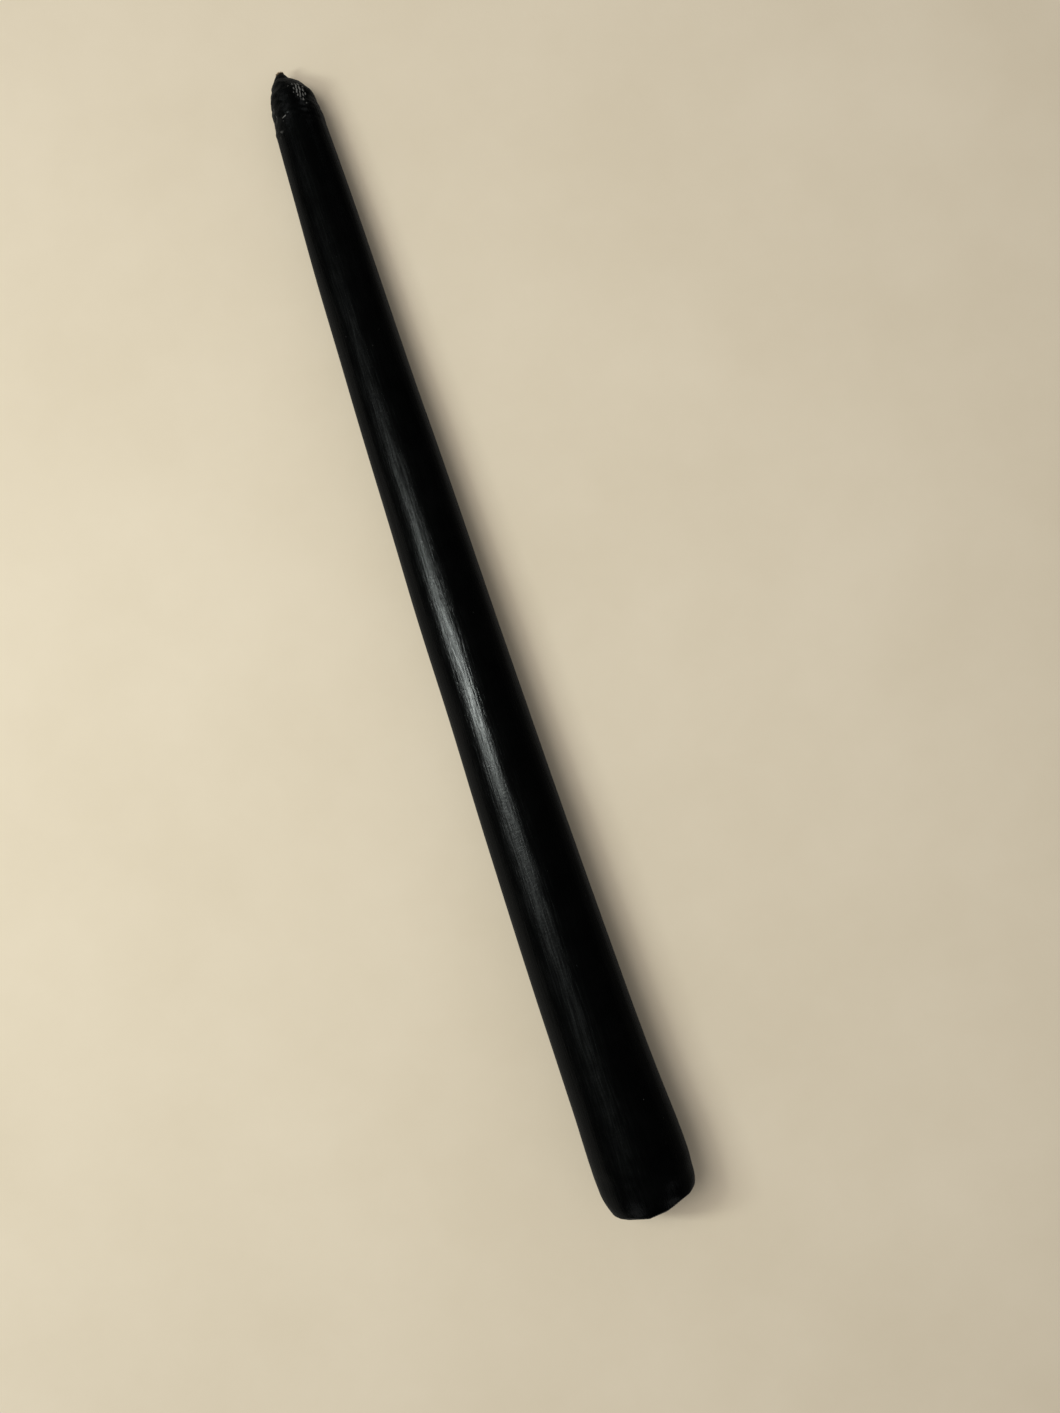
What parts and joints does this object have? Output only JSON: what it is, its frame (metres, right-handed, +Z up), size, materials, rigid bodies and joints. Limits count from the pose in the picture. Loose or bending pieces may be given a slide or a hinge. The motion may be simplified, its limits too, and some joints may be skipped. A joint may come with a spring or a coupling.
{
  "type": "taper candle",
  "caption": "Slender hand-dipped taper candle in black wax, with a cut butt for a candle cup, a rounded nose and a short plaited cotton wick.",
  "frame": {"origin": "centre of the bounding box's underside, on the surface that the candle lies on", "axes": "+Z up, +Y along the candle from the cut butt to the wick, +X to the right seen from above with the wick pointing away"},
  "size_m": [0.0222, 0.2722, 0.0222],
  "materials": {
    "black_wax": "black paraffin wax, satin, faintly streaked along its length, scuffed at the nose",
    "core_wax": "black-dyed paraffin wax, matt where it is cut",
    "primed_wax": "undyed wax that the wick was primed with, translucent off-white",
    "wick_cotton": "plaited cotton yarn soaked in wax, blackened at its trimmed end"
  },
  "bodies": {
    "root": {"overdip_coat": "black_wax", "body_wax": "core_wax", "priming_wax": "primed_wax", "wick_plait_1": "wick_cotton", "wick_plait_2": "wick_cotton", "wick_plait_3": "wick_cotton"}
  },
  "joints": []
}
